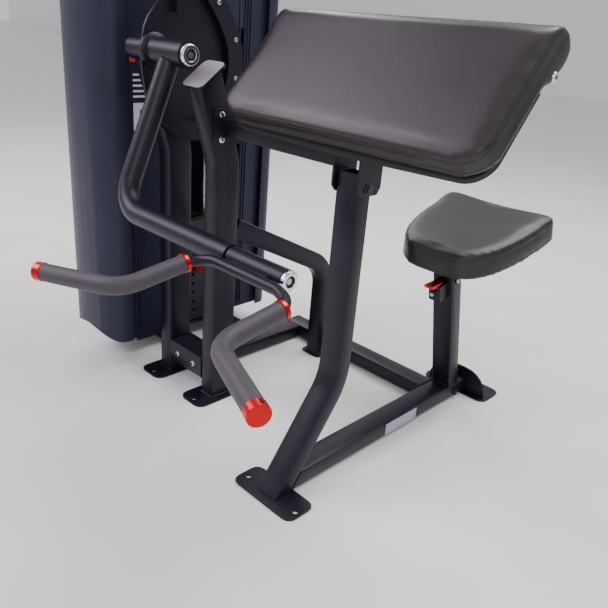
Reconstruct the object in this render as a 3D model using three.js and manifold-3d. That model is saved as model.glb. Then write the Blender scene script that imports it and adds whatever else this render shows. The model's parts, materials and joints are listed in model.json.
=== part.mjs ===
// Selectorized arm-curl machine: preacher bench, swinging curl arm and enclosed weight tower.
// Units are millimetres, +Z is up, the floor is Z = 0. The user sits facing -Y with the tower on the -X side.
// Pieces are laid out about the user's centre plane (X = 0) and the whole machine is then centred on its footprint.

import * as THREE from 'three';
import { mergeVertices } from 'three/addons/utils/BufferGeometryUtils.js';
import Module from 'manifold-3d';

const wasm = await Module();
wasm.setup();

// ---------------------------------------------------------------- driving dimensions

const GAP = 0.3;                    // clearance between pieces that touch
const FOOT = 5;                     // thickness of the foot plates
const WALL = 3;                     // wall of the frame tubing
const RAIL_W = 60;                  // frame tube, wide side
const RAIL_H = 40;                  // frame tube, narrow side
const RAIL_TOP = FOOT + RAIL_H;
const RAIL_MID = FOOT + RAIL_H / 2;

const RAIL_FRONT = -170;
const RAIL_REAR = 553;
const UPRIGHT_Y = -11;
const UPRIGHT_TOP = 690;
const UPRIGHT_KNEE = 231;
const UPRIGHT_RAKE = 35.5 * Math.PI / 180;

const CROSS_Y = 438;
const TOWER_RAIL_X = -540;
const COLUMN_W = 50;
const COLUMN_D = 70;
const COLUMN_Y = -12;
const NEAR_X = -408;
const FAR_X = -599;

const PIVOT = { y: -107, z: 866 };  // lateral axis that the arm turns about
const CABLE_R = 247;                // from the pivot to the cable where it leaves the cam
const CAM_X = -543;
const ARM_X = -476;
const ARM_R = 24;
const GRIP_AXIS = { y: -243, z: 534 };
const SLEEVE_LEFT = -84;
const SLEEVE_RIGHT = 66;

const PAD_SLOPE = 49.9 * Math.PI / 180;
const PAD_LOW = { y: -112, z: 769 };
const PAD_FACE = 251;
const PAD_W = 640;
const PAD_THICK = 50;
const BOARD_THICK = 12;

const SEAT_LEAN = 14 * Math.PI / 180;
const POST_BASE_Y = 486;
const POST_D = 45;
const SEAT_STEM = 388;              // from the rail to the seat plate, measured up the post

const TOWER_RIGHT = -664;
const TOWER_W = 240;
const TOWER_FRONT = -125;
const TOWER_REAR = 365;
const TOWER_BOW = 58;
const TOWER_BOTTOM = 82;
const TOWER_TOP = 1338;
const STACK = { x: -784, y: PIVOT.y + CABLE_R };
const PLATE = { w: 120, d: 236, h: 30 };
const LIFTED = 4;
const RESTING = 5;
const STACK_FLOOR = 74;
const PULLEY_R = 50;
const PULLEY_Z = 1404;
const CABLE_D = 6;

// The centre of the machine's footprint, measured from the user's centre plane.
const CENTRE = { x: -292, y: 46.85 };

// ---------------------------------------------------------------- finishes

const finish = (color, roughness, metalness) => new THREE.MeshStandardMaterial({ color, roughness, metalness });
const POWDER = finish(0x26252f, 0.42, 0.35);
const PANEL = finish(0x2b2c3a, 0.5, 0.2);
const LEATHER = finish(0x3a3336, 0.45, 0.0);
const RUBBER = finish(0x3b383e, 0.75, 0.0);
const RED = finish(0xb3121a, 0.3, 0.7);
const CHROME = finish(0xc9cbd0, 0.12, 1.0);
const STEEL = finish(0x8b8e94, 0.35, 1.0);
const IRON = finish(0x2d2d30, 0.6, 0.6);
const BOARD = finish(0x191719, 0.8, 0.0);
const NYLON = finish(0x17171a, 0.5, 0.0);
const CABLE = finish(0x111113, 0.4, 0.1);

// ---------------------------------------------------------------- helpers

const machine = new THREE.Group();
machine.position.set(-CENTRE.x, -CENTRE.y, 0);

function add(name, geometry, material) {
  const mesh = new THREE.Mesh(geometry, material);
  mesh.name = name;
  machine.add(mesh);
  return mesh;
}

function solidOf(geometry) {
  const bare = geometry.clone();
  bare.deleteAttribute('normal');
  bare.deleteAttribute('uv');
  const merged = mergeVertices(bare, 1e-4);
  const mesh = new wasm.Mesh({
    numProp: 3,
    vertProperties: new Float32Array(merged.attributes.position.array),
    triVerts: new Uint32Array(merged.index.array),
  });
  return new wasm.Manifold(mesh);
}

function geometryOf(solid) {
  const mesh = solid.getMesh();
  const geometry = new THREE.BufferGeometry();
  geometry.setAttribute('position', new THREE.BufferAttribute(new Float32Array(mesh.vertProperties), 3));
  geometry.setIndex(new THREE.BufferAttribute(new Uint32Array(mesh.triVerts), 1));
  return geometry;
}

function cut(geometry, ...tools) {
  return geometryOf(tools.reduce((solid, tool) => solid.subtract(solidOf(tool)), solidOf(geometry)));
}

function join(geometry, ...others) {
  return geometryOf(others.reduce((solid, other) => solid.add(solidOf(other)), solidOf(geometry)));
}

// A box given by its low and high corners.
function block(x0, x1, y0, y1, z0, z1) {
  const box = new THREE.BoxGeometry(x1 - x0, y1 - y0, z1 - z0);
  return box.translate((x0 + x1) / 2, (y0 + y1) / 2, (z0 + z1) / 2);
}

function roundedRect(w, h, r, seg = 2) {
  const shape = new THREE.Shape();
  const corners = [[1, 1], [-1, 1], [-1, -1], [1, -1]];
  corners.forEach(([sx, sy], i) => {
    for (let k = 0; k <= seg; k++) {
      const a = Math.PI / 2 * (i + k / seg);
      const x = sx * (w / 2 - r) + r * Math.cos(a);
      const y = sy * (h / 2 - r) + r * Math.sin(a);
      if (i + k === 0) shape.moveTo(x, y);
      else shape.lineTo(x, y);
    }
  });
  return shape;
}

function tubeSection(w, h, r = 6, wall = WALL) {
  const section = roundedRect(w, h, r);
  section.holes.push(roundedRect(w - 2 * wall, h - 2 * wall, Math.max(r - wall, 0.6), 1));
  return section;
}

function circle(r, seg, cx = 0, cy = 0) {
  const shape = new THREE.Shape();
  for (let i = 0; i < seg; i++) {
    const a = 2 * Math.PI * i / seg;
    if (i === 0) shape.moveTo(cx + r, cy);
    else shape.lineTo(cx + r * Math.cos(a), cy + r * Math.sin(a));
  }
  return shape;
}

// Extrusions of a flat outline along +Z, +X (outline in Y, Z) and +Y (outline in X, Z).
function alongZ(shape, z0, z1) {
  return new THREE.ExtrudeGeometry(shape, { depth: z1 - z0, bevelEnabled: false, curveSegments: 10 }).translate(0, 0, z0);
}

function alongX(shape, x0, x1) {
  const geometry = new THREE.ExtrudeGeometry(shape, { depth: x1 - x0, bevelEnabled: false, curveSegments: 10 });
  const turn = new THREE.Matrix4().makeBasis(
    new THREE.Vector3(0, 1, 0), new THREE.Vector3(0, 0, 1), new THREE.Vector3(1, 0, 0));
  return geometry.applyMatrix4(turn).translate(x0, 0, 0);
}

function alongY(shape, y0, y1) {
  const geometry = new THREE.ExtrudeGeometry(shape, { depth: y1 - y0, bevelEnabled: false, curveSegments: 10 });
  const turn = new THREE.Matrix4().makeBasis(
    new THREE.Vector3(0, 0, 1), new THREE.Vector3(1, 0, 0), new THREE.Vector3(0, 1, 0));
  return geometry.applyMatrix4(turn).translate(0, y0, 0);
}

function rodX(r, x0, x1, y, z, seg = 24) {
  return new THREE.CylinderGeometry(r, r, x1 - x0, seg).rotateZ(Math.PI / 2).translate((x0 + x1) / 2, y, z);
}

function rodY(r, y0, y1, x, z, seg = 24) {
  return new THREE.CylinderGeometry(r, r, y1 - y0, seg).translate(x, (y0 + y1) / 2, z);
}

function rodZ(r, z0, z1, x, y, seg = 24) {
  return new THREE.CylinderGeometry(r, r, z1 - z0, seg).rotateX(Math.PI / 2).translate(x, y, (z0 + z1) / 2);
}

// Straight legs joined by round bends. Each corner is [x, y, z, bend radius].
class BentPath extends THREE.Curve {
  constructor(corners, bendSteps = 7) {
    super();
    this.points = [];
    this.tangents = [];
    const p = corners.map(([x, y, z]) => new THREE.Vector3(x, y, z));
    corners.forEach(([, , , radius = 0], i) => {
      const before = i > 0 ? p[i].clone().sub(p[i - 1]).normalize() : p[1].clone().sub(p[0]).normalize();
      const after = i < p.length - 1 ? p[i + 1].clone().sub(p[i]).normalize() : before.clone();
      const turn = before.angleTo(after);
      if (i === 0 || i === p.length - 1 || turn < 1e-4) {
        this.points.push(p[i]);
        this.tangents.push(before);
        return;
      }
      const setback = radius * Math.tan(turn / 2);
      const start = p[i].clone().addScaledVector(before, -setback);
      const inward = after.clone().addScaledVector(before, -after.dot(before)).normalize();
      for (let k = 0; k <= bendSteps; k++) {
        const a = turn * k / bendSteps;
        this.points.push(start.clone()
          .addScaledVector(before, radius * Math.sin(a))
          .addScaledVector(inward, radius * (1 - Math.cos(a))));
        this.tangents.push(before.clone().multiplyScalar(Math.cos(a)).addScaledVector(inward, Math.sin(a)));
      }
    });
  }

  get steps() {
    return this.points.length - 1;
  }

  // Keeps the section's width level on paths that bend only in the Y-Z plane.
  computeFrenetFrames(segments, closed) {
    if (this.tangents.some((t) => Math.abs(t.x) > 1e-6)) return super.computeFrenetFrames(segments, closed);
    const tangents = Array.from({ length: segments + 1 }, (_, i) => this.getTangentAt(i / segments));
    const normals = tangents.map(() => new THREE.Vector3(1, 0, 0));
    const binormals = tangents.map((t) => new THREE.Vector3().crossVectors(t, normals[0]));
    return { tangents, normals, binormals };
  }

  getPoint(t, target = new THREE.Vector3()) {
    return target.copy(this.points[Math.round(t * this.steps)]);
  }

  getPointAt(t, target) {
    return this.getPoint(t, target);
  }

  getTangent(t, target = new THREE.Vector3()) {
    return target.copy(this.tangents[Math.round(t * this.steps)]);
  }

  getTangentAt(t, target) {
    return this.getTangent(t, target);
  }
}

function sweep(section, corners, bendSteps) {
  const path = new BentPath(corners, bendSteps);
  return new THREE.ExtrudeGeometry(section, { extrudePath: path, steps: path.steps, bevelEnabled: false });
}

// Profile points [radius, distance] turned about the X axis, from x0 towards +X.
function turnedX(profile, x0, y, z, seg = 20) {
  const points = profile.map(([r, d]) => new THREE.Vector2(r, d));
  return new THREE.LatheGeometry(points, seg).rotateZ(-Math.PI / 2).translate(x0, y, z);
}

// ---------------------------------------------------------------- bench frame

function footPlate(x, y, w, d, holes, r = 20) {
  const plate = roundedRect(w, d, r, 3);
  holes.forEach(([hx, hy]) => plate.holes.push(circle(6, 10, hx, hy)));
  return alongZ(plate, 0, FOOT - GAP).translate(x, y, 0);
}

function benchFrame() {
  const leanShift = (UPRIGHT_KNEE - FOOT) * Math.tan(UPRIGHT_RAKE);
  const toeY = UPRIGHT_Y - leanShift;
  const below = block(-60, 60, toeY - 120, toeY + 120, -120, FOOT);
  const toe = [0, toeY - 40 * Math.tan(UPRIGHT_RAKE), FOOT - 40];
  const legPath = [[0, UPRIGHT_Y, UPRIGHT_TOP], [0, UPRIGHT_Y, UPRIGHT_KNEE, 140], toe];
  add('front_upright', cut(sweep(tubeSection(RAIL_W, RAIL_H), legPath, 8), below), POWDER);

  const fatLeg = sweep(roundedRect(RAIL_W + 10, RAIL_H + 2 * GAP, 1, 1), legPath, 8);
  const ahead = new THREE.BoxGeometry(120, 200, 400).translate(0, -100, 0).rotateX(-UPRIGHT_RAKE);
  ahead.translate(0, toeY, FOOT);
  const rail = alongY(tubeSection(RAIL_H, RAIL_W), RAIL_FRONT, RAIL_REAR).translate(0, 0, RAIL_MID);
  add('main_rail', cut(rail, fatLeg, ahead), POWDER);

  add('front_foot', footPlate(4, -180, 184, 80, [[-74, -5], [78, -7]]), POWDER);

  const gusset = new THREE.Shape();
  gusset.moveTo(-92, 2);
  gusset.lineTo(92, 2);
  gusset.bezierCurveTo(92, 42, 66, 74, 20, 74);
  gusset.lineTo(-20, 74);
  gusset.bezierCurveTo(-66, 74, -92, 42, -92, 2);
  const gussetAt = (y0, y1) => {
    const flat = new THREE.ExtrudeGeometry(gusset, { depth: y1 - y0, bevelEnabled: false, curveSegments: 6 });
    return flat.rotateX(Math.PI / 2).translate(0, y1, 0);
  };
  const rearPlate = footPlate(0, 582, 206, 96, [[-72, 4], [72, 4]], 24);
  add('rear_foot', join(rearPlate, gussetAt(RAIL_REAR + GAP, RAIL_REAR + GAP + 6)), POWDER);
}

function rails() {
  const low = (x0, x1) => alongX(tubeSection(RAIL_W, RAIL_H), x0, x1).translate(0, 0, RAIL_MID);
  const left = TOWER_RAIL_X - RAIL_W / 2;
  add('cross_rail', low(left, -RAIL_W / 2 - GAP).translate(0, CROSS_Y, 0), POWDER);
  const rail = alongY(tubeSection(RAIL_H, RAIL_W), 30, CROSS_Y - RAIL_W / 2 - GAP);
  add('tower_rail', rail.translate(TOWER_RAIL_X, 0, RAIL_MID), POWDER);
}

// A column stands on its own foot plate and leans forward above its bend.
function column(x, top, cap) {
  const rake = 17 * Math.PI / 180;
  const knee = 630;
  const lean = (top - knee) * Math.tan(rake);
  const path = [[x, COLUMN_Y, FOOT - 2], [x, COLUMN_Y, knee, 160], [x, COLUMN_Y - lean, top]];
  const post = sweep(tubeSection(COLUMN_W, COLUMN_D, 7), path, 5);
  const foot = footPlate(x, COLUMN_Y - 27, 88, 128, [[0, -48], [0, 27]], 22);
  return cap ? join(post, foot, cap) : join(post, foot);
}

function columns() {
  const capTilt = 37 * Math.PI / 180;
  const cap = alongZ(roundedRect(74, 88, 16, 4), -3, 3);
  cap.rotateX(capTilt).translate(NEAR_X, -70, 826);
  const above = new THREE.BoxGeometry(200, 300, 200).translate(0, 0, 98).rotateX(capTilt);
  above.translate(NEAR_X, -70, 826);
  add('column_near', join(cut(column(NEAR_X, 880), above), cap), POWDER);
  add('column_far', column(FAR_X, 905), POWDER);

  const side = COLUMN_W / 2 + GAP;
  const tie = alongX(tubeSection(COLUMN_D, 64, 6), FAR_X + side, NEAR_X - side);
  add('column_tie', tie.translate(0, COLUMN_Y, 72), POWDER);

  const braceX = NEAR_X;
  const start = [braceX, 23 + 2, 464];
  const bend = [braceX, CROSS_Y - RAIL_W / 2 - GAP - 25, 291, 95];
  const bracePath = [start, bend, [braceX, bend[1], FOOT - 2]];
  const post = block(braceX - 60, braceX + 60, -100, 23 + GAP, 300, 600);
  const brace = sweep(tubeSection(40, 50, 6), bracePath, 8);
  const heel = footPlate(braceX, bend[1], 74, 60, [[0, 0]], 12);
  add('column_brace', join(cut(brace, post), heel), POWDER);
}

// ---------------------------------------------------------------- arm pad

// Points on the pad's side profile, s up the slope from the low edge and n out of the face.
function padPoint(s, n) {
  const c = Math.cos(PAD_SLOPE);
  const k = Math.sin(PAD_SLOPE);
  return [PAD_LOW.y + s * c - n * k, PAD_LOW.z + s * k + n * c];
}

function padShape(...pairs) {
  const shape = new THREE.Shape();
  pairs.forEach(([s, n], i) => {
    const [y, z] = padPoint(s, n);
    if (i === 0) shape.moveTo(y, z);
    else shape.lineTo(y, z);
  });
  return shape;
}

function padOutline(width, length, r) {
  const shape = new THREE.Shape();
  const half = width / 2;
  shape.moveTo(-half, length);
  shape.lineTo(-half, r);
  shape.absarc(-half + r, r, r, Math.PI, 1.5 * Math.PI);
  shape.lineTo(0, -6);
  shape.absarc(half - r, r, r, 1.5 * Math.PI, 2 * Math.PI);
  shape.lineTo(half, length);
  return shape;
}

// Maps a flat outline (X across, Y up the slope) and a depth along the face's normal.
function onPad(shape, n0, n1) {
  const flat = new THREE.ExtrudeGeometry(shape, { depth: n1 - n0, bevelEnabled: false, curveSegments: 8 });
  flat.translate(0, 0, n0).rotateX(PAD_SLOPE);
  return flat.translate(0, PAD_LOW.y, PAD_LOW.z);
}

function armPad() {
  const roll = 38;
  const centre = { s: PAD_FACE + 6, n: -roll };
  const profile = [[0, 0], [0, -PAD_THICK], [190, -PAD_THICK], [203, -62]];
  for (let k = 0; k <= 12; k++) {
    const a = -2.15 + (Math.PI / 2 + 2.15) * k / 12;
    profile.push([centre.s + roll * Math.cos(a), centre.n + roll * Math.sin(a)]);
  }
  const side = padShape(...profile.reverse());
  const whole = alongX(side, -PAD_W / 2, PAD_W / 2);
  const plan = onPad(padOutline(PAD_W + 2, 400, 58), -140, 60);
  const pad = geometryOf(solidOf(whole).intersect(solidOf(plan)));
  add('arm_pad', pad, LEATHER);

  const board = onPad(padOutline(PAD_W - 16, 186, 52), -PAD_THICK - BOARD_THICK, -PAD_THICK - GAP);
  add('arm_pad_board', board, BOARD);
}

function padSupport() {
  const under = -PAD_THICK - BOARD_THICK - GAP;
  const beamTop = 733;
  const beam = alongX(tubeSection(RAIL_H, RAIL_H), NEAR_X + COLUMN_W / 2 + GAP, -RAIL_W / 2 - 6 - GAP);
  const endPlate = block(NEAR_X + COLUMN_W / 2 + GAP, NEAR_X + COLUMN_W / 2 + 6, -62, 24, 676, 758);
  const rib = alongX(padShape([14, under], [14, under - 30], [80, under - 60], [150, under - 14], [150, under]), -252, -246);
  const board = onPad(padOutline(PAD_W, 260, 20), under, 60);
  const placed = beam.translate(0, UPRIGHT_Y, beamTop - RAIL_H / 2);
  add('pad_beam', cut(join(placed, endPlate, rib), board), POWDER);

  const wing = new THREE.Shape();
  wing.moveTo(UPRIGHT_Y - 28, 660);
  wing.lineTo(UPRIGHT_Y - 18, 648);
  wing.lineTo(UPRIGHT_Y + 30, 648);
  wing.lineTo(UPRIGHT_Y + 40, 662);
  wing.lineTo(UPRIGHT_Y + 40, 900);
  wing.lineTo(UPRIGHT_Y - 28, 900);
  const inner = RAIL_W / 2 + GAP;
  const right = alongX(wing, inner, inner + 5);
  const left = alongX(wing, -inner - 5, -inner);
  const seat = onPad(roundedRect(150, 150, 12), under - 6, under).translate(0, 0, 0);
  seat.translate(0, 100 * Math.cos(PAD_SLOPE), 100 * Math.sin(PAD_SLOPE));
  const over = onPad(roundedRect(300, 900, 5), under, 200);
  add('pad_bracket', cut(join(right, left, seat), over), POWDER);
}

// ---------------------------------------------------------------- seat

// The seat's own frame: Z up the leaning post from the rail's top, Y towards the back of the seat.
function placeSeat(geometry) {
  return geometry.rotateX(SEAT_LEAN).translate(0, POST_BASE_Y, RAIL_TOP);
}

function seatOutline(w, front, rear) {
  const shape = new THREE.Shape();
  const half = w / 2;
  shape.moveTo(-half + 26, rear);
  shape.bezierCurveTo(-half + 6, rear, -half, rear - 12, -half, rear - 34);
  shape.bezierCurveTo(-half + 1, rear - 190, -half + 24, front + 8, -48, front);
  shape.lineTo(48, front);
  shape.bezierCurveTo(half - 24, front + 8, half - 1, rear - 190, half, rear - 34);
  shape.bezierCurveTo(half, rear - 12, half - 6, rear, half - 26, rear);
  return shape;
}

function seat() {
  const latchZ = SEAT_STEM - 62;
  const bolt = (r, seg) => rodY(r, -120, 0, 0, latchZ, seg);
  const sideHole = rodX(7, 0, 60, -6, SEAT_STEM - 40, 16);
  const postTop = SEAT_STEM - 16;
  const floor = block(-60, 60, POST_BASE_Y - 60, POST_BASE_Y + 60, -60, RAIL_TOP + GAP);
  const post = placeSeat(cut(alongZ(tubeSection(RAIL_W, POST_D), -20, postTop), bolt(6, 16), sideHole));
  add('seat_post', cut(post, floor), POWDER);

  const stemW = RAIL_W - 2 * WALL - 1;
  const stemD = POST_D - 2 * WALL - 1;
  const stem = alongZ(tubeSection(stemW, stemD, 5), 150, SEAT_STEM + 2);
  const notches = [0, 1, 2, 3].map((i) => rodY(6, -40, 0, 0, latchZ - 35 * i, 16));
  const plate = alongZ(seatOutline(280, -56, 226), SEAT_STEM, SEAT_STEM + 6);
  add('seat_carriage', placeSeat(join(cut(stem, ...notches), plate)), POWDER);
  add('seat_pad', placeSeat(alongZ(seatOutline(322, -76, 246), SEAT_STEM + 6 + GAP, SEAT_STEM + 70)), LEATHER);

  const front = -POST_D / 2 - GAP;
  const shell = block(-17, 17, front - 34, front, latchZ - 24, latchZ + 20);
  const slot = block(-13, 13, front - 30, front + 1, latchZ - 16, latchZ + 30);
  const mouth = block(-14, 14, front - 40, front - 28, latchZ + 10, latchZ + 30);
  const nose = rodY(5.6, front - 60, front - 20, 0, latchZ, 16);
  add('seat_latch_housing', placeSeat(cut(shell, slot, nose, mouth)), POWDER);

  const pin = join(rodY(5, front - 46, front + 2.2, 0, latchZ, 16), rodY(8, front - 22, front - 14, 0, latchZ, 16));
  add('seat_latch_pin', placeSeat(pin), STEEL);

  const handle = new THREE.Shape();
  handle.moveTo(front - 12, latchZ + 14);
  handle.lineTo(front - 12, latchZ + 25);
  handle.lineTo(front - 60, latchZ + 34);
  handle.lineTo(front - 62, latchZ + 28);
  handle.lineTo(front - 24, latchZ + 14);
  add('seat_lever', placeSeat(alongX(handle, -12, 12)), RED);
}

// ---------------------------------------------------------------- curl arm

function camPoints(grow) {
  const knots = [[-30, 4], [-26, -70], [-4, -140], [44, -190], [120, -206], [198, -160], [243, -74],
    [247, 10], [214, 84], [158, 146], [106, 186], [62, 178], [30, 120], [-18, 60]];
  const curve = new THREE.CatmullRomCurve3(knots.map(([a, b]) => new THREE.Vector3(a, b, 0)), true, 'centripetal');
  const centre = new THREE.Vector3(110, -10, 0);
  return curve.getPoints(36).slice(0, -1).map((p) => p.addScaledVector(p.clone().sub(centre).normalize(), grow));
}

function camOutline(grow) {
  const points = camPoints(grow).map((p) => new THREE.Vector2(PIVOT.y + p.x, PIVOT.z + p.y));
  return new THREE.Shape(points);
}

function cam() {
  const bore = rodX(15, CAM_X - 40, CAM_X + 40, PIVOT.y, PIVOT.z);
  const plate = alongX(camOutline(0), CAM_X - 12, CAM_X - 6);
  add('cam_plate', cut(plate, bore), POWDER);
  const ring = alongX(camOutline(-7), CAM_X - 6 + GAP, CAM_X + 12);
  const flange = alongX(camOutline(1), CAM_X + 6, CAM_X + 12);
  const middle = alongX(camOutline(-44), CAM_X - 20, CAM_X + 20);
  const hubSide = block(CAM_X - 30, CAM_X + 30, PIVOT.y - 70, PIVOT.y + 52, PIVOT.z - 90, PIVOT.z + 260);
  add('cam_rim', cut(join(ring, flange), middle, hubSide), POWDER);
}

function curlArm() {
  const { y, z } = PIVOT;
  const bore = rodX(15, -700, -300, y, z);
  const flange = turnedX([[0, 0], [38, 0], [38, 8], [30, 14], [0, 14]], CAM_X - 6 + GAP, y, z);
  const boss = rodX(29, CAM_X + 5, -414, y, z, 24);
  const legs = [[ARM_X, y - 8, z - 20], [ARM_X, GRIP_AXIS.y, GRIP_AXIS.z, 74], [SLEEVE_LEFT - 2, GRIP_AXIS.y, GRIP_AXIS.z]];
  const tube = sweep(circle(ARM_R, 20), legs, 9);
  const socket = rodX(15, SLEEVE_LEFT - 60, SLEEVE_LEFT + 10, GRIP_AXIS.y, GRIP_AXIS.z);
  add('arm_tube', cut(join(flange, boss, tube), bore, socket), POWDER);

  const head = [[0, 0], [14.4, 0], [14.4, 134], [24, 134], [24, 139], [21, 143], [13, 143], [13, 136], [0, 136]];
  const shaftStart = -630;
  const reach = -414 - shaftStart + GAP;
  const shaft = head.map(([r, d]) => [r, d < 1 ? 0 : d - 134 + reach]);
  add('pivot_shaft', turnedX(shaft, shaftStart, y, z), CHROME);

  const ring = turnedX([[14.8, 0], [27, 0], [27, 62], [14.8, 62], [14.8, 0]], FAR_X + COLUMN_W / 2 - 52, y, z);
  add('pivot_bearing', ring, POWDER);
  const far = machine.getObjectByName('column_far');
  const seatCut = rodX(28, FAR_X - 60, FAR_X + 60, y, z);
  far.geometry = cut(far.geometry, seatCut, block(FAR_X - 60, FAR_X + 60, y - 90, y + 90, z + 10, z + 90));
}

function handle() {
  const { y, z } = GRIP_AXIS;
  const axle = [[0, 0], [14.2, 0], [14.2, 200], [20, 200], [20, 205], [17, 208], [11, 208], [11, 201], [0, 201]];
  const start = SLEEVE_LEFT - 58;
  const reach = SLEEVE_RIGHT + GAP - start;
  add('handle_axle', turnedX(axle.map(([r, d]) => [r, d < 1 ? 0 : d - 200 + reach]), start, y, z), CHROME);

  const left = SLEEVE_LEFT + 0.6;
  add('handle_sleeve', turnedX([[14.6, 0], [21, 0], [21, SLEEVE_RIGHT - left], [14.6, SLEEVE_RIGHT - left], [14.6, 0]],
    left, y, z), POWDER);

  const barR = 11;
  const bar = { y: -286, z: 534 };
  const ringAt = { x: 132, y: -322, z: 521 };
  const bendAt = { x: 134, y: -452, z: 500 };
  const capAt = { x: 301, y: -517, z: 493 };
  const grip = (side) => [[side * ringAt.x, ringAt.y, ringAt.z], [side * bendAt.x, bendAt.y, bendAt.z, 56],
    [side * capAt.x, capAt.y, capAt.z]];
  const route = [
    [-capAt.x, capAt.y, capAt.z],
    [-bendAt.x, bendAt.y, bendAt.z, 56],
    [-ringAt.x, ringAt.y + 26, ringAt.z + 4, 42],
    [-84, bar.y, bar.z, 30],
    [84, bar.y, bar.z, 30],
    [ringAt.x, ringAt.y + 26, ringAt.z + 4, 42],
    [bendAt.x, bendAt.y, bendAt.z, 56],
    [capAt.x, capAt.y, capAt.z],
  ];
  const rod = sweep(circle(barR, 10), route, 5);
  const web = block(-58, 40, bar.y, y, z - 5, z + 5);
  const sleeveClear = rodX(21 + GAP, -200, 200, y, z, 28);
  add('handle_bar', cut(join(rod, web), sleeveClear), POWDER);

  [['left', -1], ['right', 1]].forEach(([label, side]) => {
    const legs = grip(side);
    const soft = sweep(circle(17, 14), legs, 6);
    const path = new BentPath(legs, 6);
    const first = path.tangents[0];
    const last = path.tangents[path.steps];
    const collar = tubeAt(legs[0], first.clone().negate(), GAP, 8, 18.5);
    const cap = tubeAt(legs[2], last, -10, 7, 18);
    const trimmed = cut(soft, tubeAt(legs[2], last, -10 - GAP, 60, 30));
    add(`grip_${label}`, cut(trimmed, rodCore(route, barR + GAP)), RUBBER);
    add(`grip_ring_${label}`, cut(collar, rodCore(route, barR + GAP)), RED);
    add(`grip_cap_${label}`, cut(cap, tubeAt(legs[2], last, -40, GAP, barR + GAP)), RED);
  });
}

// A short cylinder from a to b along a direction, measured from a point.
function tubeAt([x, y, z], direction, a, b, r) {
  const body = new THREE.CylinderGeometry(r, r, b - a, 16).translate(0, (a + b) / 2, 0);
  const turn = new THREE.Quaternion().setFromUnitVectors(new THREE.Vector3(0, 1, 0), direction);
  return body.applyQuaternion(turn).translate(x, y, z);
}

function rodCore(route, r) {
  return sweep(circle(r, 10), route, 5);
}

// ---------------------------------------------------------------- weight tower

// Plan of a bowed cover: straight sides and an elliptical nose towards -Y.
function bowed(halfWidth, side, bow, thickness) {
  const shape = new THREE.Shape();
  const arc = (hw, b, from, to, move) => {
    for (let k = 0; k <= 12; k++) {
      const a = from + (to - from) * k / 12;
      const x = hw * Math.cos(a);
      const y = -b * Math.sin(a);
      if (k === 0 && move) shape.moveTo(x, y);
      else shape.lineTo(x, y);
    }
  };
  shape.moveTo(halfWidth, side);
  arc(halfWidth, bow, 0, Math.PI, false);
  shape.lineTo(-halfWidth, side);
  shape.lineTo(-halfWidth + thickness, side);
  arc(halfWidth - thickness, bow - thickness, Math.PI, 0, false);
  shape.lineTo(halfWidth - thickness, side);
  return shape;
}

function shroud(name, frontwards) {
  const half = TOWER_W / 2;
  const shell = alongZ(bowed(half, 18, TOWER_BOW, 3), TOWER_BOTTOM, TOWER_TOP);
  const r = 46;
  const notch = new THREE.Shape();
  notch.moveTo(-TOWER_BOW - 20, TOWER_BOTTOM - 20);
  notch.lineTo(-TOWER_BOW - 20, TOWER_BOTTOM + r);
  notch.lineTo(-TOWER_BOW, TOWER_BOTTOM + r);
  notch.absarc(-TOWER_BOW + r, TOWER_BOTTOM + r, r, Math.PI, 1.5 * Math.PI);
  notch.lineTo(-TOWER_BOW + r, TOWER_BOTTOM - 20);
  const cover = cut(shell, alongX(notch, -half - 20, half + 20));
  if (!frontwards) cover.rotateZ(Math.PI);
  const y = frontwards ? TOWER_FRONT : TOWER_REAR;
  add(name, cover.translate(STACK.x, y, 0), PANEL);
}

// A pressed side panel: a flat sheet with upright ribs, and on the near side a window onto the plates.
function sidePanel(name, x, outward, window) {
  const y0 = TOWER_FRONT + 3;
  const y1 = TOWER_REAR - 3;
  const sheet = block(x - 1.5, x + 1.5, y0, y1, TOWER_BOTTOM + 2, TOWER_TOP - GAP);
  const ribs = [34, 44, 54, 392, 402, 412].map((d) =>
    block(Math.min(x, x + outward * 5), Math.max(x, x + outward * 5), y0 + d, y0 + d + 4,
      TOWER_BOTTOM + 20, d < 100 ? 560 : TOWER_TOP - 40));
  const whole = join(sheet, ...ribs);
  add(name, window ? cut(whole, window) : whole, PANEL);
}

function tower() {
  const deck = block(STACK.x - 84, STACK.x + 58, -58, 300, RAIL_TOP - 5, RAIL_TOP + 3);
  const under = RAIL_W / 2;
  const legs = [75, 262].map((y) => {
    const tube = alongX(roundedRect(RAIL_W, RAIL_H, 4, 1), STACK.x - 84, TOWER_RAIL_X - under - GAP);
    return tube.translate(0, y, RAIL_H / 2);
  });
  add('tower_base', join(deck, ...legs), POWDER);

  const postY = TOWER_REAR - 44;
  const post = alongZ(tubeSection(50, 40, 5), RAIL_TOP + 3 + GAP, TOWER_TOP - GAP);
  const postFoot = block(STACK.x - 40, STACK.x + 40, 262, postY + 24, RAIL_TOP + 3 + GAP, RAIL_TOP + 8);
  add('tower_post', join(post.translate(STACK.x, postY, 0), postFoot), POWDER);

  shroud('shroud_front', true);
  shroud('shroud_rear', false);
  const window = block(TOWER_RIGHT - 30, TOWER_RIGHT + 30, STACK.y - 128, STACK.y + 128, TOWER_BOTTOM + 20, 920);
  sidePanel('side_panel_near', TOWER_RIGHT - 16, 1, window);
  sidePanel('side_panel_far', TOWER_RIGHT - TOWER_W + 16, -1, null);
  topPlate();
}

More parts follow.
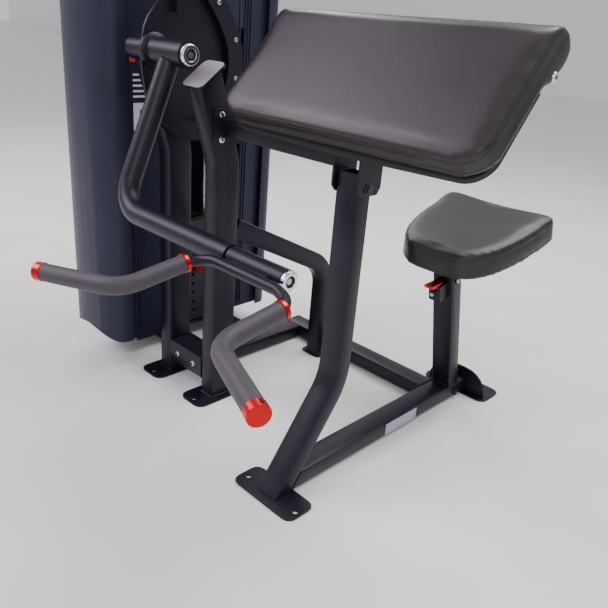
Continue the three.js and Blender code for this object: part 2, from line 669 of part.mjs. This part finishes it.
function topPlate() {
  const top = alongZ(roundedRect(TOWER_W - 8, TOWER_REAR - TOWER_FRONT + 20, 20, 4), TOWER_TOP, TOWER_TOP + 8);
  top.translate(STACK.x, (TOWER_FRONT + TOWER_REAR) / 2, 0);
  const cheekShape = new THREE.Shape();
  const low = TOWER_TOP + 2;
  cheekShape.moveTo(low, STACK.x - 40);
  cheekShape.lineTo(low, TOWER_RIGHT - 10);
  cheekShape.lineTo(PULLEY_Z - 40, CAM_X - 4);
  cheekShape.lineTo(PULLEY_Z + 24, CAM_X - 20);
  cheekShape.lineTo(PULLEY_Z + 34, CAM_X - 60);
  cheekShape.lineTo(PULLEY_Z + 34, STACK.x + 20);
  const cheek = (y0) => alongY(cheekShape, y0, y0 + 5);
  const y = STACK.y;
  const pair = [cheek(y - 16), cheek(y + 11)];
  const spacer = rodY(8, y - 14, y + 14, (STACK.x + CAM_X) / 2, PULLEY_Z - 4, 16);
  const axles = [STACK.x + PULLEY_R, CAM_X - PULLEY_R].map((x) => rodY(6, y - 18, y + 18, x, PULLEY_Z, 16));
  const hole = rodZ(14, TOWER_TOP - 10, TOWER_TOP + 20, STACK.x, y, 20);
  add('top_frame', cut(join(top, ...pair, spacer, ...axles), hole), POWDER);

  [['pulley_stack', STACK.x + PULLEY_R], ['pulley_cam', CAM_X - PULLEY_R]].forEach(([name, x]) => {
    const rim = PULLEY_R + 4;
    const groove = PULLEY_R - CABLE_D / 2 - 1.2;
    const profile = [[6.3, -9], [rim, -9], [rim, -6], [groove, -2.4], [groove, 2.4], [rim, 6], [rim, 9], [6.3, 9], [6.3, -9]];
    const wheel = new THREE.LatheGeometry(profile.map(([r, d]) => new THREE.Vector2(r, d)), 22);
    add(name, wheel.translate(x, STACK.y, PULLEY_Z), NYLON);
  });
}

function weightStack() {
  const { x, y } = STACK;
  const rodsY = [y - 84, y + 84];
  rodsY.forEach((rodY0, i) => {
    add(`guide_rod_${i ? 'rear' : 'front'}`, rodZ(10, RAIL_TOP + 3 + GAP, TOWER_TOP - GAP, x, rodY0, 20), CHROME);
  });
  const cushion = roundedRect(PLATE.w - 30, 120, 8, 2);
  add('stack_cushion', alongZ(cushion, RAIL_TOP + 3 + GAP, STACK_FLOOR - GAP).translate(x, y, 0), RUBBER);

  const blank = (h) => {
    const shape = roundedRect(PLATE.w, PLATE.d, 6, 2);
    shape.holes.push(circle(14.5, 14), circle(11.4, 14, 0, -84), circle(11.4, 14, 0, 84));
    return alongZ(shape, 0, h);
  };
  const total = LIFTED + RESTING;
  for (let i = 0; i < total; i++) {
    const base = STACK_FLOOR + i * PLATE.h;
    const pinHole = rodX(5.4, 0, PLATE.w, 0, (PLATE.h - GAP) / 2, 8);
    const plate = cut(blank(PLATE.h - GAP), pinHole);
    add(`weight_plate_${total - i}`, plate.translate(x, y, base), IRON);
  }

  const headZ = STACK_FLOOR + total * PLATE.h;
  const rodLength = total * PLATE.h - 4;
  const stem = rodZ(13, -rodLength, 30, 0, 0, 16);
  const crossHoles = Array.from({ length: total }, (_, i) =>
    rodX(5.4, -2, 20, 0, -(i + 0.5) * PLATE.h - GAP / 2, 8));
  const shape = roundedRect(PLATE.w, PLATE.d, 6, 2);
  shape.holes.push(circle(11.4, 14, 0, -84), circle(11.4, 14, 0, 84));
  const head = join(alongZ(shape, 0, 36), cut(stem, ...crossHoles), rodZ(9, 30, 62, 0, 0, 16));
  add('head_plate', head.translate(x, y, headZ), IRON);

  const pinZ = STACK_FLOOR + (RESTING + 0.5) * PLATE.h - GAP / 2;
  const shank = rodX(4.8, x + 0, x + PLATE.w / 2 + 8, y, pinZ, 14);
  const knob = turnedX([[0, 0], [11, 0], [13, 4], [13, 20], [9, 26], [0, 26]], x + PLATE.w / 2 + 6, y, pinZ, 20);
  add('selector_pin', join(shank, knob), RED);
}

// The cable runs up from the cam, over two pulleys and down to the head plate.
function cable() {
  const { x, y } = STACK;
  const r = CABLE_D / 2;
  const section = circle(r, 8);
  const top = PULLEY_Z + PULLEY_R;
  const headTop = STACK_FLOOR + (LIFTED + RESTING) * PLATE.h + 62;
  const over = [[x, y, PULLEY_Z - 20], [x, y, top, PULLEY_R], [CAM_X, y, top, PULLEY_R], [CAM_X, y, PIVOT.z + GAP]];
  add('cable_over', sweep(section, over, 6), CABLE);
  const wrap = camPoints(-3.2).filter((p) => p.x > 150 && p.y < -6);
  const laid = new THREE.CatmullRomCurve3(wrap.map((p) => new THREE.Vector3(CAM_X, PIVOT.y + p.x, PIVOT.z + p.y)));
  add('cable_cam', new THREE.ExtrudeGeometry(section, { extrudePath: laid, steps: 14, bevelEnabled: false }), CABLE);
  add('cable_stack', sweep(section, [[x, y, headTop + GAP], [x, y, PULLEY_Z - 20 - GAP]], 2), CABLE);
}

benchFrame();
rails();
columns();
armPad();
padSupport();
seat();
cam();
curlArm();
handle();
tower();
weightStack();
cable();

export default machine;
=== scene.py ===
"""Looks for the arm-curl machine: materials, pads, seams, fasteners, placards, stage, light and camera."""
import json
import math
import bmesh
import bpy
import numpy as np
from mathutils import Matrix, Vector

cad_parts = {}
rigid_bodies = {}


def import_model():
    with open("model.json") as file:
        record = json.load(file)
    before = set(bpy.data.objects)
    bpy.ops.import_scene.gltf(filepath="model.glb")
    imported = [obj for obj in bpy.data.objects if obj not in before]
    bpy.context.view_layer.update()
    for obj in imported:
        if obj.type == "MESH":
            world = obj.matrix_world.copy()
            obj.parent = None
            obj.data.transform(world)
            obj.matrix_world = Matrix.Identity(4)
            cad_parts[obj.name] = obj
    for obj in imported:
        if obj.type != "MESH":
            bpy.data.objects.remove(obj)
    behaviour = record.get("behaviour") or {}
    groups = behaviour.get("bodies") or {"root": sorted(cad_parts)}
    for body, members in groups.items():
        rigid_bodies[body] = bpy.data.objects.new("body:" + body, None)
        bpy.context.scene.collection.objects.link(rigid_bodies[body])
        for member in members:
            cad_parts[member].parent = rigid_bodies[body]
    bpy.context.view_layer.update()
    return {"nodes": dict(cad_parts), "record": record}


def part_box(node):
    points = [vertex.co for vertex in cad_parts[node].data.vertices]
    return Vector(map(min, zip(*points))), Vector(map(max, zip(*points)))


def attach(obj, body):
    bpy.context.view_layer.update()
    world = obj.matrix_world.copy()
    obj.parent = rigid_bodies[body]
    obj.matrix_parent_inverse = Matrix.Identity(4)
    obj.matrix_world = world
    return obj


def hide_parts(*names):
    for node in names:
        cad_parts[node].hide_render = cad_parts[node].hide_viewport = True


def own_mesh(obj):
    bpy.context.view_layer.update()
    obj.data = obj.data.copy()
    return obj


for o in list(bpy.data.objects):
    bpy.data.objects.remove(o)
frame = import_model()
record = frame["record"]
nodes = frame["nodes"]
SLOT = {s["node"]: s["material_slot"] for s in record["subparts"]}
JOINT = {j["name"]: j for j in record["behaviour"]["joints"]}
PIVOT = Vector(JOINT["arm_lift"]["pos_m"])
GRIP_AXIS = Vector(JOINT["handle_swing"]["pos_m"])
MID = GRIP_AXIS.x
PAD_SLOPE = math.radians(49.9)
SEAT_UP = Vector(JOINT["seat_height"]["axis"])
RIGHT = Vector((1, 0, 0))
LEFT = -RIGHT
WELD_GAP = 2e-5
SEAM_RADIUS = 0.0013
SEAM_SINK = 0.0004
BEAD_RADIUS = 0.0022
CAM_RIM_BOLTS = ((0.225, 0.03), (0.228, -0.06), (0.18, -0.15), (0.12, -0.186), (0.17, 0.11))
CLOTH_FRAMES = 20
CLOTH_EVEN_PASSES = 26
COLUMN_HALF = 0.025
CAP_SLOPE = math.radians(37)
REACH = 30
WALL_Y = 12


def mid(node):
    lo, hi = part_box(node)
    return (lo + hi) / 2


# ------------------------------------------------------------------ materials

def material(name, base, rough, metal=0.0, vary=0.0, rough_vary=0.0, scale=40.0, bump=0.0, bump_scale=900.0,
             coat=0.0, cells=False, shine=0.5):
    """A surface with a slow drift of colour and roughness and a fine relief."""
    m = bpy.data.materials.new(name)
    m.use_nodes = True
    tree = m.node_tree
    shader = tree.nodes["Principled BSDF"]
    shader.inputs["Base Color"].default_value = (*base, 1)
    shader.inputs["Roughness"].default_value = rough
    shader.inputs["Metallic"].default_value = metal
    shader.inputs["Specular IOR Level"].default_value = shine
    shader.inputs["Coat Weight"].default_value = coat
    shader.inputs["Coat Roughness"].default_value = 0.25
    place = tree.nodes.new("ShaderNodeTexCoord")
    if vary or rough_vary:
        noise = tree.nodes.new("ShaderNodeTexNoise")
        noise.inputs["Scale"].default_value = scale
        noise.inputs["Detail"].default_value = 6
        tree.links.new(place.outputs["Object"], noise.inputs["Vector"])
    if vary:
        ramp = tree.nodes.new("ShaderNodeMix")
        ramp.data_type = "RGBA"
        ramp.inputs["A"].default_value = (*[max(c * (1 - vary), 0) for c in base], 1)
        ramp.inputs["B"].default_value = (*[min(c * (1 + vary), 1) for c in base], 1)
        tree.links.new(noise.outputs["Fac"], ramp.inputs["Factor"])
        tree.links.new(ramp.outputs["Result"], shader.inputs["Base Color"])
    if rough_vary:
        span = tree.nodes.new("ShaderNodeMapRange")
        span.inputs["To Min"].default_value = rough - rough_vary
        span.inputs["To Max"].default_value = rough + rough_vary
        tree.links.new(noise.outputs["Fac"], span.inputs["Value"])
        tree.links.new(span.outputs["Result"], shader.inputs["Roughness"])
    if bump:
        relief = tree.nodes.new("ShaderNodeTexVoronoi" if cells else "ShaderNodeTexNoise")
        relief.inputs["Scale"].default_value = bump_scale
        tree.links.new(place.outputs["Object"], relief.inputs["Vector"])
        raised = tree.nodes.new("ShaderNodeBump")
        raised.inputs["Strength"].default_value = bump
        raised.inputs["Distance"].default_value = 0.0006
        tree.links.new(relief.outputs["Distance" if cells else "Fac"], raised.inputs["Height"])
        tree.links.new(raised.outputs["Normal"], shader.inputs["Normal"])
    return m


LOOK = {
    "powder": material("powder", (0.0095, 0.0085, 0.0165), 0.34, 0.2, 0.25, 0.07, 30, 0.25, 1400,
                       shine=0.32),
    "panel": material("panel", (0.017, 0.017, 0.038), 0.42, 0.1, 0.2, 0.06, 12, 0.25, 1600, shine=0.3),
    "leather": material("leather", (0.016, 0.011, 0.0145), 0.33, 0.0, 0.3, 0.08, 9, 0.35, 620,
                        cells=True, shine=0.42),
    "board": material("board", (0.012, 0.011, 0.011), 0.8, 0.0, 0.3, 0.05, 60, 0.4, 300),
    "rubber": material("rubber", (0.045, 0.037, 0.046), 0.55, 0.0, 0.2, 0.06, 50, 0.5, 800),
    "red": material("red", (0.58, 0.008, 0.012), 0.24, 0.85, 0.1, 0.05, 30, 0.1, 1200),
    "chrome": material("chrome", (0.78, 0.78, 0.8), 0.12, 1.0, 0.03, 0.05, 30),
    "steel": material("steel", (0.5, 0.5, 0.53), 0.3, 1.0, 0.1, 0.07, 60, 0.1, 500),
    "iron": material("iron", (0.035, 0.035, 0.04), 0.55, 0.4, 0.3, 0.1, 25, 0.5, 350),
    "nylon": material("nylon", (0.014, 0.014, 0.016), 0.45, 0.0, 0.1, 0.05, 40, 0.1, 900),
    "cable": material("cable", (0.008, 0.008, 0.009), 0.35, 0.0, 0.1, 0.04, 60, 0.2, 900),
}
SEAM = material("seam", (0.006, 0.005, 0.006), 0.5, 0.0, 0.1)
# Painted shade: a near-black colour standing in for the shade inside hex holes and recesses.
SOCKET_SHADE = material("socket_shade", (0.006, 0.006, 0.007), 0.6)
LABEL = material("label", (0.42, 0.38, 0.5), 0.35, 0.3, 0.06, 0.05, 30)
CARD_RED = material("card_red", (0.62, 0.03, 0.02), 0.45, 0.0, 0.05)
CARD_WHITE = material("card_white", (0.62, 0.64, 0.7), 0.5, 0.0, 0.05)
INK = material("ink", (0.12, 0.13, 0.18), 0.5, 0.0, 0.05)


def clean_shading(o, width):
    me = o.data
    if "custom_normal" in me.attributes:
        me.attributes.remove(me.attributes["custom_normal"])
    for p in me.polygons:
        p.use_smooth = True
    weld = o.modifiers.new("weld", "WELD")
    weld.merge_threshold = WELD_GAP
    bevel = o.modifiers.new("bevel", "BEVEL")
    bevel.width = width
    bevel.segments = 2
    bevel.limit_method = "ANGLE"
    bevel.angle_limit = math.radians(38)
    bevel.harden_normals = True


for name, node in nodes.items():
    node.data.materials.clear()
    node.data.materials.append(LOOK[SLOT[name]])
    thin = min(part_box(name)[1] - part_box(name)[0])
    clean_shading(node, 0.0006 if thin < 0.02 or name.startswith(("column", "front_up", "arm_")) else 0.0012)


# ------------------------------------------------------------------ building pieces

def piece(name, verts, faces, mat, body, smooth=False):
    me = bpy.data.meshes.new(name)
    me.from_pydata([tuple(v) for v in verts], [], faces)
    me.update()
    o = bpy.data.objects.new(name, me)
    bpy.context.scene.collection.objects.link(o)
    me.materials.append(mat)
    for p in me.polygons:
        p.use_smooth = smooth
    if body == "stage":
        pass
    elif body:
        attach(o, body)
    return o


def basis(normal):
    n = Vector(normal).normalized()
    side = Vector((0, 0, 1)).cross(n)
    side = Vector((1, 0, 0)) if side.length < 1e-3 else side.normalized()
    return side, n.cross(side), n


def disc(name, centre, normal, rings, mat, body, sides=32, turn=0.0):
    """A turned piece: rings of (radius, height) along normal, closed at the last ring."""
    a, b, n = basis(normal)
    c = Vector(centre)
    verts, faces = [], []
    for r, h in rings:
        for i in range(sides):
            t = 2 * math.pi * i / sides + turn
            verts.append(c + a * (r * math.cos(t)) + b * (r * math.sin(t)) + n * h)
    for k in range(len(rings) - 1):
        for i in range(sides):
            j = (i + 1) % sides
            faces.append((k * sides + i, k * sides + j, (k + 1) * sides + j, (k + 1) * sides + i))
    faces.append(tuple(range((len(rings) - 1) * sides, len(rings) * sides)))
    faces.append(tuple(reversed(range(sides))))
    o = piece(name, verts, faces, mat, body, smooth=sides > 8)
    if sides > 8:
        split = o.modifiers.new("split", "EDGE_SPLIT")
        split.split_angle = math.radians(35)
    return o


def hex_bolt(name, centre, normal, r, body, mat="nylon"):
    washer = [(r * 1.55, -0.0005), (r * 1.55, 0.0016), (r * 1.45, 0.002)]
    disc(name + "_washer", centre, normal, washer, LOOK[mat], body)
    head = [(r * 1.15, 0.0015), (r * 1.15, 0.0058), (r * 0.95, 0.0068)]
    disc(name, centre, normal, head, LOOK[mat], body, 6)


def button_bolt(name, centre, normal, r, body, mat="steel"):
    head = [(r, -0.0005), (r, 0.0012), (r * 0.86, 0.0028), (r * 0.5, 0.0038)]
    disc(name, centre, normal, head, LOOK[mat], body)
    # Painted shade: a raised black hex stands in for the shaded hollow in the bolt head.
    socket_shade = [(r * 0.42, 0.0030), (r * 0.42, 0.0040)]
    disc(name + "_socket", centre, normal, socket_shade, SOCKET_SHADE, body, 6)


def patch(name, low, high, mat, body):
    """A thin plate between two corners, for labels and small trim."""
    (x0, y0, z0), (x1, y1, z1) = low, high
    v = [(x, y, z) for x in (x0, x1) for y in (y0, y1) for z in (z0, z1)]
    f = [(0, 1, 3, 2), (4, 6, 7, 5), (0, 4, 5, 1), (2, 3, 7, 6), (0, 2, 6, 4), (1, 5, 7, 3)]
    return piece(name, v, f, mat, body)


def line_tube(name, points, r, mat, body, closed=True):
    curve = bpy.data.curves.new(name, "CURVE")
    curve.dimensions = "3D"
    curve.bevel_depth = r
    curve.bevel_resolution = 2
    spline = curve.splines.new("POLY")
    spline.points.add(len(points) - 1)
    for p, v in zip(spline.points, points):
        p.co = (*v, 1)
    spline.use_cyclic_u = closed
    o = bpy.data.objects.new(name, curve)
    bpy.context.scene.collection.objects.link(o)
    curve.materials.append(mat)
    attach(o, body)
    return o


# ------------------------------------------------------------------ pads

def apply_all(o):
    bpy.context.view_layer.update()
    dg = bpy.context.evaluated_depsgraph_get()
    me = bpy.data.meshes.new_from_object(o.evaluated_get(dg))
    o.modifiers.clear()
    o.data = me


def coords(o):
    co = np.empty(len(o.data.vertices) * 3, np.float32)
    o.data.vertices.foreach_get("co", co)
    return co.reshape(-1, 3).astype(float)


def set_coords(o, co):
    o.data.vertices.foreach_set("co", co.astype(np.float32).ravel())
    o.data.update()


def cushion(name, node, face, body, voxel, soften, puff):
    """Cloth over foam: the CAD form remeshed, rounded and inflated, held along its underside.

    The cloth's movement is evened over the mesh and capped at puff, so the pad stays near its CAD form.
    """
    o = bpy.data.objects.new(name, nodes[node].data.copy())
    bpy.context.scene.collection.objects.link(o)
    weld = o.modifiers.new("weld", "WELD")
    weld.merge_threshold = WELD_GAP
    remesh = o.modifiers.new("remesh", "REMESH")
    remesh.mode = "VOXEL"
    remesh.voxel_size = voxel
    soft = o.modifiers.new("soft", "SMOOTH")
    soft.iterations = soften
    soft.factor = 0.5
    apply_all(o)
    start = coords(o)
    n = np.array(face)
    depth = start @ n
    held = 0.04 if node == "seat_pad" else 0.02
    low = depth.min() + (depth.max() - depth.min()) * held
    hold = o.vertex_groups.new(name="hold")
    normals = np.empty(len(o.data.vertices) * 3, np.float32)
    o.data.vertices.foreach_get("normal", normals)
    down = normals.reshape(-1, 3) @ n
    for i in np.nonzero((down < -0.8) | (depth < low))[0]:
        hold.add([int(i)], 1.0, "REPLACE")
    cloth = o.modifiers.new("cloth", "CLOTH")
    s = cloth.settings
    s.quality = 5
    s.use_pressure = True
    s.uniform_pressure_force = 4.0
    s.tension_stiffness = 40
    s.compression_stiffness = 40
    s.bending_stiffness = 4
    s.effector_weights.gravity = 0
    s.vertex_group_mass = "hold"
    cloth.collision_settings.use_collision = False
    cloth.point_cache.frame_start = 1
    cloth.point_cache.frame_end = CLOTH_FRAMES
    for f in range(1, CLOTH_FRAMES + 1):
        bpy.context.scene.frame_set(f)
        bpy.context.view_layer.update()
    dg = bpy.context.evaluated_depsgraph_get()
    got = o.evaluated_get(dg).data
    end = np.empty(len(got.vertices) * 3, np.float32)
    got.vertices.foreach_get("co", end)
    o.modifiers.clear()
    bpy.context.scene.frame_set(1)
    moved = end.reshape(-1, 3).astype(float) - start
    ends = np.array([e.vertices[:] for e in o.data.edges])
    count = np.bincount(ends.ravel(), minlength=len(start))[:, None]
    for _ in range(CLOTH_EVEN_PASSES):
        near = np.zeros_like(moved)
        np.add.at(near, ends[:, 0], moved[ends[:, 1]])
        np.add.at(near, ends[:, 1], moved[ends[:, 0]])
        moved = 0.35 * moved + 0.65 * near / count
    size = np.linalg.norm(moved, axis=1, keepdims=True)
    set_coords(o, start + moved * (puff / np.maximum(size, puff)))
    even = o.modifiers.new("even", "SMOOTH")
    even.iterations = 3
    fine = o.modifiers.new("fine", "SUBSURF")
    fine.levels = fine.render_levels = 1
    apply_all(o)
    o.data.materials.clear()
    o.data.materials.append(LOOK["leather"])
    for p in o.data.polygons:
        p.use_smooth = True
    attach(o, body)
    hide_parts(node)
    return o


def seam(name, pad, point, normal, r, body, inset=0.0):
    """A thin welt along the longest loop where a plane crosses the pad, sunk by inset."""
    bm = bmesh.new()
    bm.from_mesh(pad.data)
    whole = bm.verts[:] + bm.edges[:] + bm.faces[:]
    cut = bmesh.ops.bisect_plane(bm, geom=whole, plane_co=point, plane_no=normal)
    edges = [e for e in cut["geom_cut"] if isinstance(e, bmesh.types.BMEdge)]
    link = {}
    for e in edges:
        a, b = e.verts
        link.setdefault(a, []).append(b)
        link.setdefault(b, []).append(a)
    loops, seen = [], set()
    for v in link:
        if v in seen:
            continue
        loop, prev, at = [], None, v
        while at is not None and at not in seen:
            seen.add(at)
            loop.append(at.co - at.normal * inset)
            ahead = [w for w in link[at] if w is not prev and w not in seen]
            prev, at = at, (ahead[0] if ahead else None)
        loops.append(loop)
    loop = max(loops, key=len)
    pts = [p.copy() for p in loop]
    bm.free()
    k = max(1, len(pts) // 260)
    return line_tube(name, pts[::k], r, SEAM, body)


pad_n = Vector((0, -math.sin(PAD_SLOPE), math.cos(PAD_SLOPE)))
pad_lo, pad_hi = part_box("arm_pad")
arm_pad = cushion("arm_pad_cushion", "arm_pad", pad_n, "frame", 0.006, 9, 0.006)
seat_pad = cushion("seat_cushion", "seat_pad", SEAT_UP, "seat", 0.0055, 9, 0.006)

face_at = max(v.co.dot(pad_n) for v in nodes["arm_pad"].data.vertices)
for i, depth in enumerate((0.014, 0.037)):
    seam(f"arm_pad_seam_{i}", arm_pad, pad_n * (face_at - depth), pad_n, SEAM_RADIUS, "frame", SEAM_SINK)
for i, x in enumerate((pad_lo.x + 0.007, pad_hi.x - 0.007)):
    seam(f"arm_pad_end_seam_{i}", arm_pad, Vector((x, 0, 0)), RIGHT, SEAM_RADIUS, "frame", SEAM_SINK)
seat_top = max(v.co.dot(SEAT_UP) for v in nodes["seat_pad"].data.vertices)
for i, depth in enumerate((0.016, 0.052)):
    seam(f"seat_seam_{i}", seat_pad, SEAT_UP * (seat_top - depth), SEAT_UP, SEAM_RADIUS, "seat", SEAM_SINK)

# ------------------------------------------------------------------ cable run

run = bpy.data.objects.new("cable_run", nodes["cable_stack"].data.copy())
bpy.context.scene.collection.objects.link(run)
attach(run, "frame")
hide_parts("cable_stack")
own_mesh(run)

# ------------------------------------------------------------------ fasteners and small fittings

upright_lo, upright_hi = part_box("front_upright")
up_y = upright_hi.y - 0.02 + 0.003
up_z = upright_hi.z - 0.028
hex_bolt("bracket_bolt_right", (upright_hi.x + 0.0053, up_y, up_z), RIGHT, 0.008, "frame")
hex_bolt("bracket_bolt_left", (upright_lo.x - 0.0053, up_y, up_z), LEFT, 0.008, "frame")

shaft_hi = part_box("pivot_shaft")[1]
# Painted shade: a black disc stands in for the shaded recess around the pivot's key.
disc("pivot_socket", (shaft_hi.x - 0.006, PIVOT.y, PIVOT.z), RIGHT, [(0.0128, 0), (0.0128, 0.0014)],
     SOCKET_SHADE, "arm")
disc("pivot_key", (shaft_hi.x - 0.0048, PIVOT.y, PIVOT.z), RIGHT, [(0.0075, 0), (0.0075, 0.003)],
     LOOK["steel"], "arm", 6)
axle_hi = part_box("handle_axle")[1]
# Painted shade: a black disc stands in for the shaded recess around the handle's key.
disc("handle_socket", (axle_hi.x - 0.007, GRIP_AXIS.y, GRIP_AXIS.z), RIGHT, [(0.0108, 0), (0.0108, 0.0014)],
     SOCKET_SHADE, "arm")
disc("handle_key", (axle_hi.x - 0.0058, GRIP_AXIS.y, GRIP_AXIS.z), RIGHT, [(0.0062, 0), (0.0062, 0.002)],
     LOOK["steel"], "arm", 6)

rail_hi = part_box("main_rail")[1]
post_lo, post_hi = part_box("seat_post")
button_bolt("post_bolt", (post_hi.x, post_lo.y + 0.032, post_hi.z - 0.032), RIGHT, 0.008, "frame")
hex_bolt("rail_bolt", (rail_hi.x, post_hi.y - 0.012, 0.016), RIGHT, 0.005, "frame")
label_y = post_lo.y - 0.065
patch("rail_label", (rail_hi.x + 0.0002, label_y - 0.129, 0.009), (rail_hi.x + 0.0009, label_y, 0.041),
      LABEL, "frame")

tie_lo, tie_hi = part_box("column_tie")
for i, x in enumerate((tie_lo.x + 0.035, tie_hi.x - 0.035)):
    button_bolt(f"tie_bolt_{i}", (x, tie_lo.y, mid("column_tie").z), (0, -1, 0), 0.008, "frame")
near_mid = mid("column_near").x
column_left = near_mid - COLUMN_HALF
column_right = near_mid + COLUMN_HALF
for i, z in enumerate((0.395, 0.43)):
    button_bolt(f"column_bolt_{i}", (column_left, mid("column_tie").y, z), LEFT, 0.007, "frame")
beam_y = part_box("pad_beam")[0].y + 0.02
for i, z in enumerate((0.689, 0.745)):
    button_bolt(f"beam_bolt_{i}", (column_right + 0.0063, beam_y, z), RIGHT, 0.0075, "frame", "chrome")

button_bolt("pad_end_bolt", (pad_hi.x - 0.001, pad_hi.y - 0.045, PIVOT.z + 0.033), RIGHT, 0.0085,
            "frame", "chrome")
for i, (sx, sy) in enumerate(((-1, 0), (1, 0), (-1, 1), (1, 1))):
    face = max(v.co.dot(SEAT_UP) for v in nodes["seat_carriage"].data.vertices) - 0.006
    spot = Vector((MID + sx * 0.045, post_lo.y - 0.01 + sy * 0.11, 0))
    spot.z = (face - spot.y * SEAT_UP.y) / SEAT_UP.z
    button_bolt(f"seat_bolt_{i}", spot, -SEAT_UP, 0.007, "seat")

cam_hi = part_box("cam_rim")[1]
for i, (dy, dz) in enumerate(CAM_RIM_BOLTS):
    button_bolt(f"cam_bolt_{i}", (cam_hi.x, PIVOT.y + dy, PIVOT.z + dz), RIGHT, 0.006, "arm")

# Painted reflection: a light mauve colour standing in for the bright overhead mirrored in the column's
# slanted cap.
CAP_PAINTED_REFLECTION = material("cap_painted_reflection", (0.42, 0.37, 0.43), 0.42, 0.4, 0.05, 0.05, 40)


def painted_reflection_plate():
    """A thin satin plate on the near column's slanted top; its light mauve colour is a painted reflection of
    the bright overhead.
    """
    n = Vector((0, -math.sin(CAP_SLOPE), math.cos(CAP_SLOPE)))
    a, b = RIGHT, n.cross(RIGHT)
    c = Vector((near_mid, PIVOT.y + 0.037, PIVOT.z - 0.040)) + n * 0.0032
    outline = []
    for k in range(24):
        t = 2 * math.pi * k / 24 + math.pi / 24
        sx, sy = (1 if math.cos(t) > 0 else -1), (1 if math.sin(t) > 0 else -1)
        outline.append((sx * 0.021 + 0.0155 * math.cos(t), sy * 0.0280 + 0.0155 * math.sin(t)))
    verts = [c + a * x + b * y + n * h for h in (0, 0.0008) for x, y in outline]
    sides = [(k, (k + 1) % 24, 24 + (k + 1) % 24, 24 + k) for k in range(24)]
    ends = [tuple(range(24, 48)), tuple(reversed(range(24)))]
    piece("painted_reflection_plate", verts, sides + ends, CAP_PAINTED_REFLECTION, "frame")


painted_reflection_plate()

# ------------------------------------------------------------------ weld beads

def rect_bead(name, x0, x1, y0, y1, z, body="frame"):
    pts = []
    corners = [(x0, y0), (x1, y0), (x1, y1), (x0, y1)]
    for i, (ax, ay) in enumerate(corners):
        bx, by = corners[(i + 1) % 4]
        steps = max(2, int(math.hypot(bx - ax, by - ay) / 0.0035))
        for k in range(steps):
            t = k / steps
            pts.append((ax + (bx - ax) * t, ay + (by - ay) * t, z + 0.0005 * (k % 2)))
    return line_tube(name, pts, BEAD_RADIUS, LOOK["powder"], body)


lean = math.atan2(-SEAT_UP.y, SEAT_UP.z)
depth_y = 0.045 / math.cos(lean)
rect_bead("weld_seat_post", post_lo.x, post_hi.x, post_hi.y - depth_y, post_hi.y, 0.0458)
for column in ("column_near", "column_far"):
    cx = mid(column).x
    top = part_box("column_tie")
    rect_bead(f"weld_{column}", cx - COLUMN_HALF, cx + COLUMN_HALF, top[0].y, top[1].y, 0.0052)
brace_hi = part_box("column_brace")[1]
brace_x = mid("column_brace").x
rect_bead("weld_brace", brace_x - 0.02, brace_x + 0.02, brace_hi.y - 0.055, brace_hi.y - 0.005, 0.0052)

# ------------------------------------------------------------------ tower placards

side_lo, side_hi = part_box("side_panel_near")
wall = side_hi.x - 0.0035
front_y = side_lo.y + 0.027


def card(name, y0, y1, z0, z1, mat, lift=0.0002):
    """A thin plain plate on the side panel's face, y measured from the panel's front edge."""
    x = wall + lift
    return patch(name, (x, front_y + y0, z0), (x + 0.0006, front_y + y1, z1), mat, "frame")


card("placard_title", 0.004, 0.073, 0.828, 0.882, CARD_RED)
for i, w in enumerate((0.050, 0.060, 0.044, 0.056, 0.048)):
    card(f"placard_bar_{i}", 0.012, 0.012 + w, 0.796 - 0.013 * i, 0.801 - 0.013 * i, CARD_WHITE)
card("placard_picture", 0.012, 0.070, 0.663, 0.731, CARD_WHITE)
card("placard_figure", 0.030, 0.052, 0.675, 0.715, INK, 0.0009)
card("placard_base", 0.012, 0.070, 0.640, 0.655, INK)

# ------------------------------------------------------------------ stage, light and camera

floor_mat = material("concrete", (0.74, 0.74, 0.735), 0.45, 0.0, 0.13, 0.12, 2.6, 0.12, 40)
corners = [(-REACH, -REACH, 0), (REACH, -REACH, 0), (REACH, REACH, 0), (-REACH, REACH, 0)]
piece("floor", corners, [(0, 1, 2, 3)], floor_mat, "stage")
wall_mat = material("backdrop", (0.86, 0.86, 0.87), 0.8)
corners = [(-REACH, WALL_Y, 0), (REACH, WALL_Y, 0), (REACH, WALL_Y, 12), (-REACH, WALL_Y, 12)]
piece("backdrop", corners, [(3, 2, 1, 0)], wall_mat, "stage")

world = bpy.context.scene.world or bpy.data.worlds.new("studio")
bpy.context.scene.world = world
world.use_nodes = True
world.node_tree.nodes["Background"].inputs["Color"].default_value = (0.95, 0.96, 1.0, 1)
world.node_tree.nodes["Background"].inputs["Strength"].default_value = 0.78


def area(name, place, target, size, power, tint=(1, 1, 1)):
    data = bpy.data.lights.new(name, "AREA")
    data.shape = "RECTANGLE"
    data.size = data.size_y = size
    data.energy = power
    data.color = tint
    o = bpy.data.objects.new(name, data)
    bpy.context.scene.collection.objects.link(o)
    o.location = place
    o.rotation_euler = (Vector(target) - Vector(place)).to_track_quat("-Z", "Y").to_euler()
    return o


area("key", (0.6, 1.6, 3.4), (0.2, 0, 0.5), 2.4, 120)
area("fill", (2.6, -2.6, 2.4), (0, 0, 0.6), 2.2, 40)
area("sheen", (-2.6, -2.2, 3.2), (0, 0, 0.9), 2.6, 135, (1, 0.86, 0.97))
area("rim", (-2.4, 1.6, 2.6), (0, 0, 0.8), 1.6, 35)

data = bpy.data.cameras.new("camera")
data.lens = 38.84
data.sensor_width = 36
cam = bpy.data.objects.new("camera", data)
bpy.context.scene.collection.objects.link(cam)
right = Vector((0.7063, 0.7037, 0.0766))
up = Vector((-0.3289, 0.2304, 0.9158))
right.normalize()
up = (up - right * up.dot(right)).normalized()
pose = Matrix((right, up, right.cross(up))).transposed().to_4x4()
pose.translation = (MID + 0.8156, PIVOT.y + 0.107 - 1.0, 0.95)
cam.matrix_world = pose
bpy.context.scene.camera = cam
